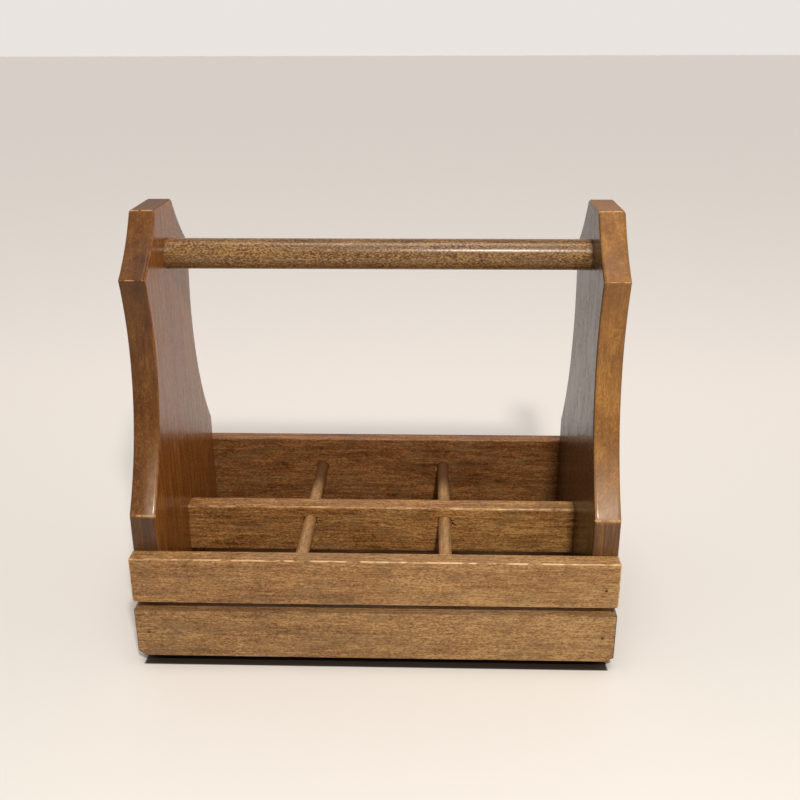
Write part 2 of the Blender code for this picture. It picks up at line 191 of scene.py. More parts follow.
def makeLamps(key, ceiling):
    # a small lamp in front, a little to the right and above, and even light straight from above
    data = bpy.data.lights.new("keyLamp", "AREA")
    data.shape, data.size = "DISK", key["size"]
    data.energy, data.color = key["power"], key["colour"]
    lamp = addObject("keyLamp", data)
    lamp.location = key["place"]
    lamp.rotation_euler = (Vector(key["aim"]) - Vector(key["place"])).to_track_quat("-Z", "Y").to_euler()
    data = bpy.data.lights.new("ceilingLight", "SUN")
    data.angle = math.radians(ceiling["size"])
    data.energy, data.color = ceiling["power"], ceiling["colour"]
    addObject("ceilingLight", data)


def makeStage():
    # a pale room: bright walls all round, and a dimmer ceiling
    world = bpy.data.worlds.new("paleRoom")
    bpy.context.scene.world = world
    world.use_nodes = True
    tree = world.node_tree
    direction = objectPlace(tree)
    behind, overhead = direction.along("Y").between(-0.5, 0.35), direction.along("Z").between(0.3, 0.8)
    walls = mixColour(tree, behind, lightLook["front"], lightLook["back"])
    room = mixColour(tree, overhead, walls, lightLook["above"])
    feed(tree, tree.nodes["Background"], {"Color": room, "Strength": lightLook["strength"]})
    makeLamps(lightLook["key"], lightLook["ceiling"])
    mesh = bpy.data.meshes.new("paleFloor")
    half = floorLook["half"]
    corners = [(-half, -half, 0), (half, -half, 0), (half, half, 0), (-half, half, 0)]
    mesh.from_pydata(corners, [], [(0, 1, 2, 3)])
    floor = addObject("paleFloor", mesh)
    material, tree, shader = newMaterial("palePaper")
    # a painted shadow: a darker patch painted on the floor under the caddy, where the lights alone leave it
    # too pale
    place, soft = objectPlace(tree), floorLook["sideSoftness"]
    endGap = floorLook["halfLength"] - place.along("X").size()
    sideGap = floorLook["halfDepth"] - place.along("Y").size()
    under = endGap.between(0.0, floorLook["softness"]) * sideGap.between(-soft, soft)
    # the paper is painted paler further back: painted light, making up for the lamp's light falling off with
    # distance
    away = place.along("Y").between(floorLook["farFrom"], floorLook["farTo"])
    paper = mixColour(tree, away, floorLook["near"], floorLook["far"])
    feed(tree, shader, {"Base Color": mixColour(tree, under, paper, floorLook["shade"]),
                        "Roughness": floorLook["roughness"]})
    mesh.materials.append(material)


bpy.context.scene.view_settings.view_transform = "Standard"
makeCamera(cameraLook)
makeStage()
print("camera, lights and floor made")


# ---- wood

alongX = (0.0, 0.0, 0.0)
alongY = (0.0, 0.0, -math.pi / 2)
alongZ = (0.0, math.pi / 2, 0.0)


woodPattern = {
    # along and across the grain, in millimetres
    "ringBend": (170.0, 50.0), "ringFray": (40.0, 4.0), "fibre": (11.0, 0.95), "cool": (26.0, 9.0),
    "faceLines": (120.0, 3.2), "edgeBlotch": (30.0, 24.0), "gleamBreak": (14.0, 5.0),
    "lowStreaks": (70.0, 1.7), "wave": (55.0, 18.0),
}
woodEdge = {
    "shoulderReach": 48 * mm, "shoulderEase": 6 * mm, "gleamReach": 62 * mm, "gleamFall": 1.6,
    "farReach": 38 * mm, "reliefDepth": 0.12 * mm,
}


def woodMaterial(name, look):
    # solid wood: every pattern is a function of the place in the board
    material, tree, shader = newMaterial(name)
    place = objectPlace(tree)
    scaled = addNode(tree, "ShaderNodeVectorMath", {"operation": "SCALE"}, {0: place, "Scale": 1000.0})
    grain = addNode(tree, "ShaderNodeMapping", None,
                    {"Vector": scaled, "Location": look["offset"], "Rotation": look["grain"]})

    def stretched(along, across):
        size = (1 / along, 1 / across, 1 / across)
        return addNode(tree, "ShaderNodeVectorMath", {"operation": "MULTIPLY"}, {0: grain, 1: size})

    def cloud(along, across, detail=2.0, roughness=0.5, distortion=0.0):
        settings = {"Vector": stretched(along, across), "Scale": 1.0, "Detail": detail,
                    "Roughness": roughness, "Distortion": distortion}
        return addNode(tree, "ShaderNodeTexNoise", None, settings)

    def flecks(along, across, size):
        # one short dash in each cell, 1 at its middle
        settings = {"Vector": stretched(along, across), "Scale": 1.0, "Randomness": 1.0}
        return 1 - addNode(tree, "ShaderNodeTexVoronoi", {"feature": "F1"}, settings).between(0.0, size)

    # growth rings round a pith beside the board, bent by slow waves along the length
    bend = (cloud(*woodPattern["ringBend"]) - 0.5) * look["wander"]
    ringX = grain.along("Y") - look["pith"][0] + bend
    ringY = grain.along("Z") - look["pith"][1]
    fray = (cloud(*woodPattern["ringFray"]) - 0.5) * 0.6
    ring = ((ringX * ringX + ringY * ringY).root() / look["ringWidth"] + fray).part()
    lateWood = ring.between(0.35, 0.92) * (1 - ring.between(0.92, 1.0))

    # broad stain patches, streaks, fibres, speckle and pores, and painted light that makes some boards paler
    # towards the right, the lamp's side
    patch = cloud(*look["patch"], 3.0, 0.55, 0.5)
    streak = cloud(*look["streakSize"], 3.0, 0.6, 0.25)
    fibre = cloud(*woodPattern["fibre"], 2.0, 0.6)
    speckle = cloud(*look["speckleSize"], 1.0, 0.5)
    poreSize = patch.between(0.35, 0.65, *look["pores"])
    shortPore = flecks(*look["poreCell"], poreSize)
    longPore = flecks(look["poreCell"][0] * 3.1, look["poreCell"][1] * 1.2, poreSize * 0.62)
    pores = (shortPore * 0.75).larger(longPore)

    tone = (0.5 + (patch - 0.5) * look["patches"] + (streak - 0.5) * look["streak"]
            + (fibre - 0.5) * look["fibre"] + (speckle - 0.5) * look["speckle"]
            + (0.4 - lateWood) * look["rings"] + look["lift"]
            + grain.along("X").between(look["paleFrom"], look["paleTo"]) * look["pale"])
    darkToMid = mixColour(tree, tone.between(0.05, 0.5), look["dark"], look["mid"])
    base = mixColour(tree, tone.between(0.5, 0.95), darkToMid, look["light"])
    cool = cloud(*woodPattern["cool"], 3.0, 0.6, 0.4).between(0.45, 0.66)
    base = mixColour(tree, cool * look["greying"], base, look["cool"])
    base = mixColour(tree, pores * look["poreDepth"], base, look["poreColour"])

    # end grain drinks more stain
    normal = addNode(tree, "ShaderNodeNewGeometry", output="Normal")
    turned = addNode(tree, "ShaderNodeMapping", {"vector_type": "NORMAL"},
                     {"Vector": normal, "Rotation": look["grain"]})
    endGrain = turned.along("X").size().between(0.55, 0.95)
    base = mixColour(tree, endGrain * look["endDark"], base, look["endColour"], "MULTIPLY")

    # the narrow edges of the panels took the stain differently from their broad faces; the broad faces also
    # carry painted light and shade: painted light on the left panel's inner face, where the lamp falls, and
    # painted shade on the right panel's faces, darkest on its inner face
    sideways = normal.along("X")
    broadFace = sideways.size().between(0.6, 0.95)
    innerFace = (sideways * look["innerSide"]).between(0.6, 0.95)
    base = mixColour(tree, broadFace * look["faceCalm"], base, look["mid"])
    lines = cloud(*woodPattern["faceLines"], 3.0, 0.6).between(0.38, 0.64)
    base = mixColour(tree, broadFace * lines * look["faceLines"], base, look["dark"])
    tint = mixColour(tree, broadFace, look["edgeTint"], look["faceTint"])
    tint = mixColour(tree, innerFace, tint, look["innerTint"])
    base = mixColour(tree, 1.0, base, tint, "MULTIPLY")

    # their calmer grain, painted shade on the edges under the shoulders and a painted gleam, a painted
    # highlight, above the creases
    height, edge = place.along("Z"), 1 - broadFace
    blotch = cloud(*woodPattern["edgeBlotch"]).between(0.35, 0.65)
    band = mixColour(tree, blotch, look["edgeLow"], look["edgeHigh"])
    base = mixColour(tree, edge * look["edgeCalm"], base, band)
    top = look["shoulder"]
    shoulder = (height.between(top - woodEdge["shoulderReach"], top - woodEdge["shoulderEase"])
                * height.between(top - 1 * mm, top + 1 * mm, 1.0, 0.0))
    base = mixColour(tree, edge * shoulder * look["shoulderDark"], base, look["shoulderColour"])
    crease = look["lowTop"]
    fade = height.between(crease + 1 * mm, crease + woodEdge["gleamReach"], 1.0, 0.0)
    gleam = (edge * fade ** woodEdge["gleamFall"] * height.between(crease - 2 * mm, crease)
             * place.along("X").between(look["gleamFrom"], look["gleamTo"])
             * cloud(*woodPattern["gleamBreak"]).between(0.3, 0.62, 0.55, 1.0))
    base = mixColour(tree, gleam * look["gleam"], base, look["gleamColour"])

    # darker streaks low down on those edges, below the creases, and painted shade on the back ends of the
    # cross dowels, towards the back board
    low = height.between(crease - 4 * mm, crease + 2 * mm, 1.0, 0.0) * edge
    streaks = cloud(*woodPattern["lowStreaks"], 3.0, 0.6).between(0.22, 0.60)
    base = mixColour(tree, low * streaks * look["lowDark"], base, look["lowColour"])
    far = place.along("Y").between(look["farFrom"], look["farFrom"] + woodEdge["farReach"])
    base = mixColour(tree, far * look["farDark"], base, look["dark"])

    # rubbed, paler arrises, grimy and dark on the lower slat; on the upper slat the paler arris is partly a
    # painted highlight along its top front edge
    wear = addNode(tree, "ShaderNodeAttribute", {"attribute_name": "wear"}, output="Fac")
    rub = cloud(look["wearLength"], look["wearLength"] * 0.5, 3.0, 0.6)
    rubbed = wear.between(0.2, 0.9) * rub.between(look["wearFrom"], look["wearFrom"] + 0.2)
    base = mixColour(tree, rubbed * look["wear"], base, look["wornColour"])

    roughness = (look["roughness"] + (patch - 0.5) * 0.2 + pores * 0.15 + endGrain * 0.08
                 - broadFace * look["faceGloss"])
    faceCoat = 1 - broadFace * look["faceMatt"]
    varnish = faceCoat * look["coat"] + gleam * 0.4 + rubbed * look["arrisCoat"]
    coat = (1 - pores * 0.4 - endGrain * 0.3) * varnish
    wave = cloud(*woodPattern["wave"], 1.0) * look["wave"]
    relief = fibre * 0.3 + streak * 0.35 - pores * 0.9 + wave
    bump = addNode(tree, "ShaderNodeBump", None,
                   {"Strength": look["bump"], "Distance": woodEdge["reliefDepth"], "Height": relief})
    feed(tree, shader, {
        "Base Color": base, "Roughness": roughness, "Coat Weight": coat, "Normal": bump,
        "Coat Roughness": look["coatRoughness"], "IOR": 1.5, "Specular IOR Level": look["specular"],
    })
    return material


baseWood = {
    "grain": alongX, "offset": (0.0, 0.0, 0.0), "pith": (30.0, 75.0), "wander": 16.0, "ringWidth": 5.2,
    "rings": 0.10, "patch": (42.0, 15.0), "patches": 1.0, "streakSize": (48.0, 2.2), "streak": 0.9,
    "fibre": 1.1, "speckleSize": (1.9, 1.05), "speckle": 1.3, "lift": 0.06,
    "paleFrom": 0.0, "paleTo": 1.0, "pale": 0.0,
    "poreCell": (4.2, 1.3), "pores": (0.34, 0.60), "poreDepth": 0.95, "poreColour": (0.085, 0.030, 0.008, 1),
    "dark": (0.120, 0.047, 0.013, 1), "mid": (0.275, 0.128, 0.042, 1), "light": (0.430, 0.235, 0.088, 1),
    "cool": (0.200, 0.118, 0.050, 1), "greying": 0.40,
    "endDark": 0.75, "endColour": (0.52, 0.45, 0.40, 1),
    "edgeTint": (1.0, 1.0, 1.0, 1), "faceTint": (1.0, 1.0, 1.0, 1), "faceCalm": 0.0,
    "edgeCalm": 0.0, "edgeLow": (0.2, 0.1, 0.04, 1), "edgeHigh": (0.3, 0.15, 0.06, 1),
    "shoulder": -1.0, "shoulderDark": 0.0, "shoulderColour": (0.08, 0.03, 0.01, 1),
    "gleam": 0.0, "gleamFrom": -1.0, "gleamTo": -0.9, "gleamColour": (0.36, 0.235, 0.15, 1),
    "faceMatt": 0.0, "faceLines": 0.0, "arrisCoat": 0.0, "innerSide": 0.0, "innerTint": (1.0, 1.0, 1.0, 1),
    "lowTop": -1.0, "lowDark": 0.0, "lowColour": (0.090, 0.055, 0.036, 1), "farFrom": 1.0, "farDark": 0.0,
    "wear": 0.35, "wearFrom": 0.44, "wearLength": 9.0, "wornColour": (0.55, 0.33, 0.15, 1),
    "roughness": 0.52, "faceGloss": 0.0, "specular": 0.30, "coat": 0.05, "coatRoughness": 0.24,
    "bump": 0.55, "wave": 0.8,
}


def woodLook(**changes):
    return {**baseWood, **changes}


panelWood = {
    "grain": alongZ, "patch": (26.0, 10.0), "patches": 1.3, "streak": 0.7, "greying": 0.25, "wear": 0.8,
    "wearFrom": 0.38, "faceCalm": 0.55, "wornColour": (0.58, 0.33, 0.14, 1),
    "roughness": 0.46, "faceGloss": 0.22, "coat": 0.15, "coatRoughness": 0.19, "specular": 0.22,
    "poreDepth": 0.4, "poreCell": (4.0, 1.3), "speckle": 0.9, "endColour": (0.72, 0.62, 0.54, 1),
    "lowTop": 115 * mm, "lowDark": 0.85, "shoulder": 280 * mm, "edgeCalm": 0.3, "faceLines": 0.55,
}
woodLooks = {
    # the upper slat's pale arris colour is partly wear and partly a painted highlight along its top front
    # arris
    "upperSlatWood": woodLook(
        offset=(130.0, 20.0, 7.0), paleFrom=40.0, paleTo=290.0, pale=0.20, lift=-0.01, wear=0.8,
        wearFrom=0.36, wornColour=(0.68, 0.42, 0.19, 1), arrisCoat=0.5,
        dark=(0.128, 0.052, 0.014, 1), mid=(0.294, 0.142, 0.047, 1), light=(0.460, 0.261, 0.098, 1)),
    "lowerSlatWood": woodLook(
        offset=(-420.0, 61.0, 19.0), pith=(-20.0, 60.0), wear=0.8, wearFrom=0.28, wearLength=24.0,
        wornColour=(0.105, 0.040, 0.013, 1), speckle=1.4, streak=0.7, paleFrom=-520.0, paleTo=-270.0,
        pale=0.20, lift=-0.01,
        dark=(0.127, 0.054, 0.016, 1), mid=(0.292, 0.147, 0.050, 1), light=(0.456, 0.270, 0.106, 1)),
    "backBoardWood": woodLook(
        offset=(900.0, -40.0, 33.0), pith=(10.0, 90.0), streak=1.1, rings=0.16, wear=0.1,
        dark=(0.073, 0.021, 0.004, 1), mid=(0.190, 0.069, 0.017, 1), light=(0.370, 0.162, 0.050, 1)),
    "dividerWood": woodLook(
        offset=(-1300.0, 15.0, 71.0), pith=(-60.0, 30.0), streak=1.3, wear=0.6, arrisCoat=0.5,
        paleFrom=-1400.0, paleTo=-1180.0, pale=0.16, lift=-0.03,
        dark=(0.131, 0.045, 0.010, 1), mid=(0.338, 0.147, 0.041, 1), light=(0.575, 0.306, 0.098, 1)),
    # the floor board is painted near black: painted shade, for a board that lies in the shade of the boards
    # above it
    "floorWood": woodLook(
        offset=(2100.0, 90.0, 11.0), specular=0.14, coat=0.0, patches=0.7,
        dark=(0.026, 0.010, 0.004, 1), mid=(0.068, 0.028, 0.010, 1), light=(0.115, 0.052, 0.019, 1)),
    "leftPanelWood": woodLook(
        **panelWood, offset=(310.0, -25.0, 141.0), pith=(20.0, -140.0), innerSide=1.0, faceMatt=0.1,
        dark=(0.060, 0.018, 0.003, 1), mid=(0.160, 0.062, 0.014, 1), light=(0.320, 0.150, 0.042, 1),
        # the inner-face tint below is painted light: the lamp falls on this inner face
        edgeTint=(0.68, 0.58, 0.40, 1), faceTint=(1.05, 0.95, 0.78, 1), innerTint=(1.68, 1.36, 0.93, 1),
        edgeLow=(0.085, 0.029, 0.004, 1), edgeHigh=(0.180, 0.068, 0.010, 1),
        shoulderDark=0.6, shoulderColour=(0.060, 0.022, 0.006, 1), lowColour=(0.060, 0.036, 0.024, 1),
        gleam=0.75, gleamFrom=-167 * mm, gleamTo=-158 * mm),
    "rightPanelWood": woodLook(
        **panelWood, offset=(-720.0, 37.0, 260.0), pith=(-30.0, 180.0), innerSide=-1.0, faceMatt=0.9,
        dark=(0.120, 0.042, 0.009, 1), mid=(0.260, 0.118, 0.032, 1), light=(0.430, 0.225, 0.070, 1),
        # the face and inner-face tints below are painted shade, darkest on the inner face, which stands in
        # the lamp's shade
        edgeTint=(0.93, 0.85, 0.68, 1), faceTint=(0.56, 0.52, 0.45, 1), innerTint=(0.24, 0.22, 0.20, 1),
        edgeLow=(0.190, 0.078, 0.016, 1), edgeHigh=(0.345, 0.152, 0.034, 1),
        shoulderDark=0.45, shoulderColour=(0.150, 0.062, 0.018, 1), lowColour=(0.085, 0.044, 0.026, 1),
        gleam=0.42, gleamFrom=150 * mm, gleamTo=157 * mm),
    "handleWood": woodLook(
        offset=(5200.0, 3.0, 90.0), pith=(4.0, 3.0), ringWidth=2.6, fibre=0.7, streak=0.6,
        speckleSize=(1.7, 0.95), speckle=2.9, poreCell=(2.6, 1.1), pores=(0.36, 0.56), poreDepth=0.85,
        coat=0.55, coatRoughness=0.25, roughness=0.60, specular=0.15, bump=1.3, lift=0.0,
        dark=(0.072, 0.027, 0.006, 1), mid=(0.174, 0.082, 0.023, 1), light=(0.340, 0.188, 0.066, 1)),
    "crossDowelWood": woodLook(
        grain=alongY, offset=(7400.0, 40.0, 20.0), pith=(2.0, 5.0), ringWidth=2.4, patches=0.6,
        streak=0.5, poreDepth=0.25, lift=0.12, coat=0.12, farFrom=30 * mm, farDark=0.95,
        dark=(0.085, 0.032, 0.009, 1), mid=(0.340, 0.172, 0.062, 1), light=(0.480, 0.275, 0.110, 1)),
}


def plainMaterial(name, colour, roughness, metallic=0.0, grit=0.0, gritSize=1.2):
    # rubber, steel and filler, with a fine uneven surface
    material, tree, shader = newMaterial(name)
    place = objectPlace(tree)
    fine = addNode(tree, "ShaderNodeTexNoise", None,
                   {"Vector": place, "Scale": 1000 / gritSize, "Detail": 3.0})
    broad = addNode(tree, "ShaderNodeTexNoise", None, {"Vector": place, "Scale": 220.0, "Detail": 3.0})
    darker = tuple(c * 0.55 for c in colour[:3]) + (1.0,)
    shade = mixColour(tree, broad.between(0.35, 0.65), darker, colour)
    bump = addNode(tree, "ShaderNodeBump", None, {"Strength": grit, "Distance": 0.0001, "Height": fine})
    feed(tree, shader, {"Base Color": shade, "Roughness": roughness + (broad - 0.5) * 0.3,
                        "Metallic": metallic, "Normal": bump})
    return material


materials = {name: woodMaterial(name, look) for name, look in woodLooks.items()}
materials["footRubber"] = plainMaterial("footRubber", (0.020, 0.018, 0.016, 1), 0.62, 0.0, 0.5)
materials["zincSteel"] = plainMaterial("zincSteel", (0.60, 0.59, 0.56, 1), 0.33, 1.0, 0.2)
materials["nailSteel"] = plainMaterial("nailSteel", (0.50, 0.46, 0.40, 1), 0.35, 1.0, 0.3)
materials["nailFiller"] = plainMaterial("nailFiller", (0.060, 0.028, 0.013, 1), 0.70, 0.0, 0.6)
print("materials made:", len(materials))


# ---- boards: an outline with rounded corners, swept through its thickness with rounded arrises

boardShape = {
    "spacing": 1.5 * mm,
    "arrisSteps": 6,
    "cornerSteps": 5,
    "flatMargin": 0.4 * mm,
    "clear": 1.2 * mm,
    "rub": 0.22 * mm,
    "coarseRub": 160,
    "fineRub": 420,
    "weldDistance": 0.002 * mm,
    "smoothAngle": math.radians(34),
}


def meshFrom(name, work):
    mesh = bpy.data.meshes.new(name)
    work.to_mesh(mesh)
    work.free()
    return mesh


def flat(x, y):
    return Vector((x, y))


def straight(start, end):
    steps = max(2, round((end - start).length / boardShape["spacing"]))
    return [start.lerp(end, k / steps) for k in range(steps + 1)]


def hollowArc(start, end, hollow):
    # points on an arc whose middle lies hollow to the left of the line from start to end
    chord = end - start
    left = flat(-chord.y, chord.x).normalized()
    radius = (chord.length ** 2 / 4 + hollow ** 2) / (2 * hollow)
    centre = (start + end) / 2 + left * (hollow - radius)
    half, middle = math.asin(chord.length / 2 / radius), math.atan2(left.y, left.x)
    steps = max(6, round(2 * half * radius / boardShape["spacing"]))
    angles = [middle + half * (1 - 2 * k / steps) for k in range(steps + 1)]
    return [centre + radius * flat(math.cos(a), math.sin(a)) for a in angles]


def outwardOf(direction):
    return flat(direction.y, -direction.x)


def turnedBy(vector, angle):
    return flat(vector.x * math.cos(angle) - vector.y * math.sin(angle),
                vector.x * math.sin(angle) + vector.y * math.cos(angle))


def roundedOutline(stretches, radii):
    # anticlockwise stretches; radii[i] rounds the corner where stretch i starts
    corners = []
    for index, stretch in enumerate(stretches):
        before = stretches[index - 1]
        comesIn, goesOut = (before[-1] - before[-2]).normalized(), (stretch[1] - stretch[0]).normalized()
        cross = comesIn.x * goesOut.y - comesIn.y * goesOut.x
        turn = math.atan2(cross, comesIn.dot(goesOut))
        radius = radii[index] if turn > 0 else 0.0
        trim = radius * math.tan(turn / 2)
        start = stretch[0] - comesIn * trim
        centre = start - outwardOf(comesIn) * radius
        corners.append({"turn": turn, "radius": radius, "trim": trim, "centre": centre, "in": comesIn})
    points = []
    for index, stretch in enumerate(stretches):
        corner, following = corners[index], corners[(index + 1) % len(stretches)]
        first = outwardOf(corner["in"])
        bisector = turnedBy(first, corner["turn"] / 2)
        steps = boardShape["cornerSteps"] if corner["radius"] else 0
        for k in range(steps + 1):
            share = k / steps if steps else 0.5
            points.append({"centre": corner["centre"], "radius": corner["radius"], "bisector": bisector,
                           "normal": turnedBy(first, corner["turn"] * share), "half": corner["turn"] / 2,
                           "wear": math.sin(math.pi * share) if corner["turn"] > 0.3 else 0.0})
        for k in range(1, len(stretch) - 1):
            place = stretch[k]
            fromStart, toEnd = (place - stretch[0]).length, (place - stretch[-1]).length
            clear = boardShape["clear"]
            if fromStart > corner["trim"] + clear and toEnd > following["trim"] + clear:
                normal = outwardOf((stretch[k + 1] - stretch[k - 1]).normalized())
                points.append({"centre": place, "radius": 0.0, "bisector": normal, "normal": normal,
                               "half": 0.0, "wear": 0.0})
    return points


def insetPoint(point, inset):
    if inset < point["radius"]:
        return point["centre"] + point["normal"] * (point["radius"] - inset)
    return point["centre"] - point["bisector"] * ((inset - point["radius"]) / math.cos(point["half"]))


def boardMesh(name, points, thickness, arris, axes, middle, seed, arrisWear=1.0):
    # rings of the outline, drawn in along a quarter round at each face; wear is 1 on the arrises
    steps, margin = boardShape["arrisSteps"], boardShape["flatMargin"]
    rim = [(0.0, thickness / 2 - arris - margin, 0.0)]
    for k in range(steps + 1):
        angle = math.pi / 2 * k / steps
        rim.append((arris * (1 - math.cos(angle)), thickness / 2 - arris + arris * math.sin(angle),
                    math.sin(2 * angle)))
    rim.append((arris + margin, thickness / 2, 0.0))
    rings = [(inset, -height, worn) for inset, height, worn in reversed(rim)] + rim

    along, up = Vector(axes[0]), Vector(axes[1])
    outward = along.cross(up)
    centre = Vector(middle)
    work = bmesh.new()
    layer = work.verts.layers.float.new("wear")
    grid = []
    for ringIndex, (inset, height, ringWear) in enumerate(rings):
        row = []
        onCap = ringIndex in (0, len(rings) - 1)
        for point in points:
            flatPlace = insetPoint(point, inset)
            place = centre + along * flatPlace.x + up * flatPlace.y + outward * height
            worn = 0.0 if onCap else max(ringWear * arrisWear, point["wear"])
            if worn > 0:
                coarse = noise.noise(place * boardShape["coarseRub"] + Vector((seed, 0, 0)))
                fine = noise.noise(place * boardShape["fineRub"] + Vector((0, seed, 3)))
                pull = max(0.0, coarse) ** 1.5 + 1.6 * max(0.0, fine - 0.42)
                inner = insetPoint(point, arris + margin)
                core = centre + along * inner.x + up * inner.y
                core += outward * math.copysign(thickness / 2 - arris - margin, height)
                place += (core - place).normalized() * pull * worn * boardShape["rub"]
            vertex = work.verts.new(place)
            vertex[layer] = worn
            row.append(vertex)
        grid.append(row)
    count = len(points)
    for low, high in zip(grid, grid[1:]):
        for k in range(count):
            after = (k + 1) % count
            work.faces.new((low[k], low[after], high[after], high[k]))
    work.faces.new(list(reversed(grid[0])))
    work.faces.new(grid[-1])
    bmesh.ops.remove_doubles(work, verts=work.verts, dist=boardShape["weldDistance"])
    return meshFrom(name, work)


def cylinderMesh(name, radius, length, place, direction, sides=32):
    work = bmesh.new()
    turn = Vector(direction).to_track_quat("Z", "Y").to_matrix().to_4x4()
    bmesh.ops.create_cone(work, cap_ends=True, segments=sides, radius1=radius, radius2=radius, depth=length,
                          matrix=Matrix.Translation(place) @ turn)
    return meshFrom(name, work)


def boxMesh(name, size, place):
    work = bmesh.new()
    bmesh.ops.create_cube(work, size=1.0, matrix=Matrix.Translation(place) @ Matrix.Diagonal((*size, 1)))
    return meshFrom(name, work)


def chipMesh(name, size, place, seed):
    # an uneven splinter shape, for the torn wood beside a drilled hole
    work = bmesh.new()
    bmesh.ops.create_icosphere(work, subdivisions=2, radius=1.0)
    for vertex in work.verts:
        pull = 1 + 0.55 * noise.noise(vertex.co * 1.7 + Vector((seed, 0, 0)))
        vertex.co = Vector(place) + Vector(size) * pull * vertex.co
    return meshFrom(name, work)


def carve(piece, cutters):
    # cuts every closed cutter mesh away and leaves a plain mesh
    made = []
    for index, mesh in enumerate(cutters):
        cutter = addObject("cutter", mesh)
        made.append(cutter)
        boolean = piece.modifiers.new("hole" + str(index), "BOOLEAN")
        boolean.operation, boolean.solver, boolean.object = "DIFFERENCE", "EXACT", cutter
    bakeModifiers(piece)
    for cutter in made:
        bpy.data.objects.remove(cutter)


def bakeModifiers(piece):
    bpy.context.view_layer.update()
    evaluated = piece.evaluated_get(bpy.context.evaluated_depsgraph_get())
    mesh = bpy.data.meshes.new_from_object(evaluated)
    piece.modifiers.clear()
    old = piece.data
    piece.data = mesh
    bpy.data.meshes.remove(old)


def finishPiece(piece, nodes):
    piece.data.shade_smooth()
    piece.data.set_sharp_from_angle(angle=boardShape["smoothAngle"])
    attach(piece, "root")
    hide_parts(*nodes)


def addPiece(name, mesh, material, nodes, holes=()):
    piece = addObject(name, mesh)
    if holes:
        carve(piece, holes)
    piece.data.materials.clear()
    piece.data.materials.append(materials[material])
    finishPiece(piece, nodes)


def boxMiddle(node):
    low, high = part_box(node)
    return (low + high) / 2, high - low


sides = {"left": -1, "right": 1}
holeShape = {"nailRadius": 1.1 * mm, "nailDepth": 0.7 * mm, "screwClear": 0.15 * mm, "dowelClear": 0.25 * mm,
             "dividerClear": 0.45 * mm, "housingClear": 0.35 * mm}


def nailSites():
    # where each nail meets the wood, its outward direction and the pieces that it starts in
    sites = {}
    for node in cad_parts:
        if "_nail_" not in node:
            continue
        middle, size = boxMiddle(node)
        if size.x > size.y:
            outward = Vector((math.copysign(1, middle.x), 0, 0))
            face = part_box("end_panel_right")[1].x
            place = Vector((math.copysign(face, middle.x), middle.y, middle.z))
        else:
            outward = Vector((0, math.copysign(1, middle.y), 0))
            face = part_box("back_board")[1].y
            place = Vector((middle.x, math.copysign(face, middle.y), middle.z))
        sites[node] = (place, outward)
    return sites


nails = nailSites()


def nailHoles(wanted):
    depth = holeShape["nailDepth"]
    return [cylinderMesh("nailHole", holeShape["nailRadius"], 2 * depth, place, outward)
            for node, (place, outward) in nails.items() if wanted(node)]


panelShape = {
    "topHalfWidth": 24 * mm, "shoulderHalfWidth": 65 * mm, "shoulderBelowTop": 40.7 * mm,
    "shoulderHollow": 3 * mm, "waistHollow": 21 * mm, "creaseAboveBottom": 109.6 * mm, "height": 314.4 * mm,
    "arris": 2.3 * mm, "topRadius": 2.6 * mm, "shoulderRadius": 0.8 * mm, "creaseRadius": 4.0 * mm,
    "footRadius": 1.5 * mm, "housingDepth": 3 * mm, "socketDepth": 9 * mm, "arrisWear": 0.3,
    "screwHoleDepth": 2.5 * mm, "torn": (2.2 * mm, 1.3 * mm, 1.1 * mm),
}
panelDents = {
    # height above the bottom, share of the thickness from the inner face, half length, half width, depth
    "left": [(246, 0.2, 0.9, 0.5, 0.35), (150, 0.75, 1.2, 0.4, 0.3), (92, 0.4, 1.5, 0.5, 0.35)],
    "right": [(208, 0.86, 0.6, 0.5, 0.3), (210, 0.6, 0.3, 1.0, 0.14), (188, 0.2, 1.4, 0.4, 0.3),
              (66, 0.6, 1.4, 0.5, 0.35)],
}


def dentsOn(points, entries, innerFace, sign, thickness, bottom):
    # small bruises on a panel's front edge
    front = [point["centre"] for point in points if point["centre"].x < -50 * mm and point["half"] == 0.0]
    dents = []
    for index, (height, share, tall, wide, deep) in enumerate(entries):
        near = min(front, key=lambda place: abs(place.y - height * mm))
        where = (innerFace + sign * share * thickness, near.x, bottom + near.y)
        dents.append(chipMesh("dent", (wide * mm, deep * mm, tall * mm), where, 40 + index))
    return dents


